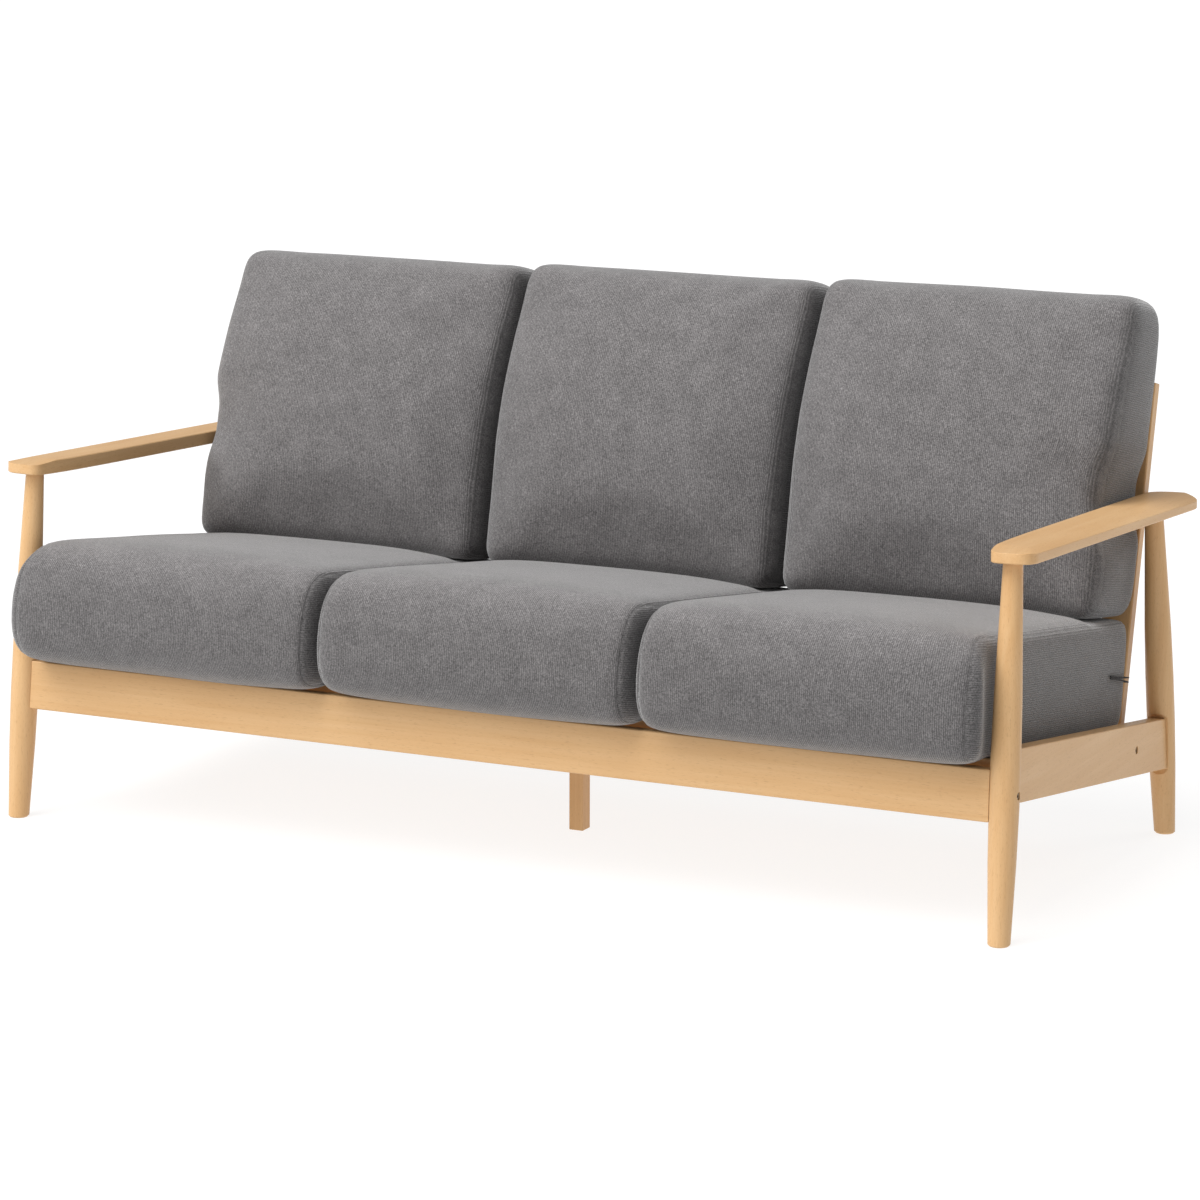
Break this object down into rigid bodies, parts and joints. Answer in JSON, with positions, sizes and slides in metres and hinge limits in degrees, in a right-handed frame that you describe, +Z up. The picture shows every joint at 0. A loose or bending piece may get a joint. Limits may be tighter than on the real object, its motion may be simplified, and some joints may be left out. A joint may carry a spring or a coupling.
{
  "type": "sofa",
  "caption": "Wide sofa with a light wooden frame on turned legs, paddle armrests, a raked slatted back and loose seat and back cushions.",
  "frame": {"origin": "on the floor under the middle of the whole sofa, cushions included", "axes": "+X towards the sitter's left across the sofa, the sofa faces -Y, +Z up"},
  "size_m": [1.7988, 0.855, 0.8658],
  "materials": {
    "beech": "satin clear lacquer over light wood with fine straight grain",
    "upholstery": "warm grey heathered chenille with a fine rib",
    "bolt_steel": "bronzed steel",
    "elastic": "black elastic cord"
  },
  "bodies": {
    "frame": {"front_leg_left": "beech", "rear_leg_left": "beech", "side_rail_left": "beech", "armrest_left": "beech", "seat_ledge_left": "beech", "front_rail_bolt_left": "bolt_steel", "rear_rail_bolt_left": "bolt_steel", "back_stile_left": "beech", "cushion_tie_left": "elastic", "front_leg_right": "beech", "rear_leg_right": "beech", "side_rail_right": "beech", "armrest_right": "beech", "seat_ledge_right": "beech", "front_rail_bolt_right": "bolt_steel", "rear_rail_bolt_right": "bolt_steel", "back_stile_right": "beech", "cushion_tie_right": "elastic", "front_rail": "beech", "rear_rail": "beech", "centre_beam": "beech", "centre_leg": "beech", "back_top_rail": "beech", "back_lower_rail": "beech", "back_foot_rail": "beech", "seat_slat_1": "beech", "seat_slat_2": "beech", "seat_slat_3": "beech", "seat_slat_4": "beech", "seat_slat_5": "beech", "seat_slat_6": "beech", "seat_slat_7": "beech", "back_slat_1": "beech", "back_slat_2": "beech", "back_slat_3": "beech", "back_slat_4": "beech", "back_slat_5": "beech", "back_slat_6": "beech", "back_slat_7": "beech", "back_slat_8": "beech", "back_slat_9": "beech", "back_slat_10": "beech", "back_slat_11": "beech"},
    "seat_cushion_left": {"seat_cushion_left": "upholstery"},
    "seat_cushion_middle": {"seat_cushion_middle": "upholstery"},
    "seat_cushion_right": {"seat_cushion_right": "upholstery"},
    "back_cushion_left": {"back_cushion_left": "upholstery"},
    "back_cushion_middle": {"back_cushion_middle": "upholstery"},
    "back_cushion_right": {"back_cushion_right": "upholstery"}
  },
  "joints": [
    {"name": "seat_left_slide", "type": "slide", "parent": "frame", "child": "seat_cushion_left", "axis": [0, -0.9908, 0.1352], "range_m": [0, 0.3]},
    {"name": "seat_middle_slide", "type": "slide", "parent": "frame", "child": "seat_cushion_middle", "axis": [0, -0.9908, 0.1352], "range_m": [0, 0.3]},
    {"name": "seat_right_slide", "type": "slide", "parent": "frame", "child": "seat_cushion_right", "axis": [0, -0.9908, 0.1352], "range_m": [0, 0.3]},
    {"name": "back_left_lift", "type": "slide", "parent": "frame", "child": "back_cushion_left", "axis": [0, 0.23, 0.9732], "range_m": [0, 0.25]},
    {"name": "back_middle_lift", "type": "slide", "parent": "frame", "child": "back_cushion_middle", "axis": [0, 0.23, 0.9732], "range_m": [0, 0.25]},
    {"name": "back_right_lift", "type": "slide", "parent": "frame", "child": "back_cushion_right", "axis": [0, 0.23, 0.9732], "range_m": [0, 0.25]}
  ]
}
